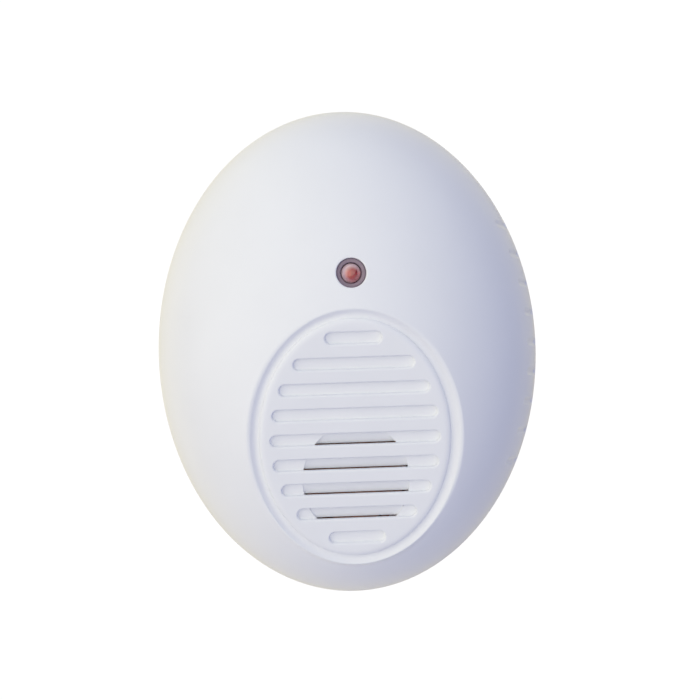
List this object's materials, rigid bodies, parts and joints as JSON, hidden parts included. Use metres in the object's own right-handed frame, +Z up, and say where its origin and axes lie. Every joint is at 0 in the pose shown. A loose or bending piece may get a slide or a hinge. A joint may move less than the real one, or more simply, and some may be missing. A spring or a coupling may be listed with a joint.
{
  "type": "ultrasonic pest repeller",
  "caption": "Plug-in ultrasonic pest repeller: white oval domed housing with a slotted sounder panel, a red lamp, flutes in one flank and a two-pin mains plug on its flat back.",
  "frame": {"origin": "on the plug's flat socket face, midway between the two pins", "axes": "+Y along the pins into the wall, so the front looks along -Y; +Z up"},
  "size_m": [0.096, 0.0665, 0.122],
  "materials": {
    "housing_plastic": "satin white moulded ABS",
    "screw_steel": "zinc plated",
    "pin_plating": "nickel plated brass",
    "sleeve_plastic": "black insulating sleeve",
    "carrier_plastic": "grey thermoplastic",
    "live_insulation": "brown PVC insulation",
    "neutral_insulation": "blue PVC insulation",
    "board_laminate": "brown phenolic board",
    "lamp_lens": "clear red epoxy",
    "tinned_wire": "tinned copper",
    "black_plastic": "black moulded plastic",
    "bezel_plastic": "dark translucent plastic",
    "gasket_foam": "brown closed cell foam",
    "cone_foil": "copper-coloured lacquered foil",
    "diaphragm_brass": "bright rolled sheet",
    "piezo_ceramic": "silvered ceramic",
    "clamp_plastic": "natural nylon",
    "red_insulation": "red PVC insulation",
    "black_insulation": "black PVC insulation",
    "capacitor_case": "yellow potted case",
    "capacitor_sleeve": "shrink sleeve",
    "fuse_coating": "green cement coating",
    "varistor_coating": "blue dipped epoxy",
    "ferrite": "sintered ferrite",
    "copper_winding": "enamelled copper wire",
    "resistor_coating": "lacquered carbon film",
    "ceramic_coating": "dipped ceramic"
  },
  "bodies": {
    "root": {"front_cover": "housing_plastic", "rear_cover": "housing_plastic", "housing_screws": "screw_steel", "live_pin": "pin_plating", "neutral_pin": "pin_plating", "pin_sleeves": "sleeve_plastic", "pin_carrier": "carrier_plastic", "carrier_screws": "screw_steel", "live_wire": "live_insulation", "neutral_wire": "neutral_insulation", "circuit_board": "board_laminate", "board_screws": "screw_steel", "led_lens": "lamp_lens", "led_leads": "tinned_wire", "led_spacer": "black_plastic", "led_bezel": "bezel_plastic", "transducer_gasket": "gasket_foam", "transducer_body": "black_plastic", "transducer_cone": "cone_foil", "transducer_diaphragm": "diaphragm_brass", "piezo_disc": "piezo_ceramic", "transducer_terminals": "tinned_wire", "transducer_clamp": "clamp_plastic", "clamp_screws": "screw_steel", "transducer_lead_red": "red_insulation", "transducer_lead_black": "black_insulation", "dropper_capacitor": "capacitor_case", "smoothing_capacitors": "capacitor_sleeve", "rectifier_diodes": "black_plastic", "fusible_resistor": "fuse_coating", "surge_varistor": "varistor_coating", "oscillator_chip": "black_plastic", "driver_transistors": "black_plastic", "coil_core": "ferrite", "coil_winding": "copper_winding", "resistors": "resistor_coating", "ceramic_capacitors": "ceramic_coating"}
  },
  "joints": []
}
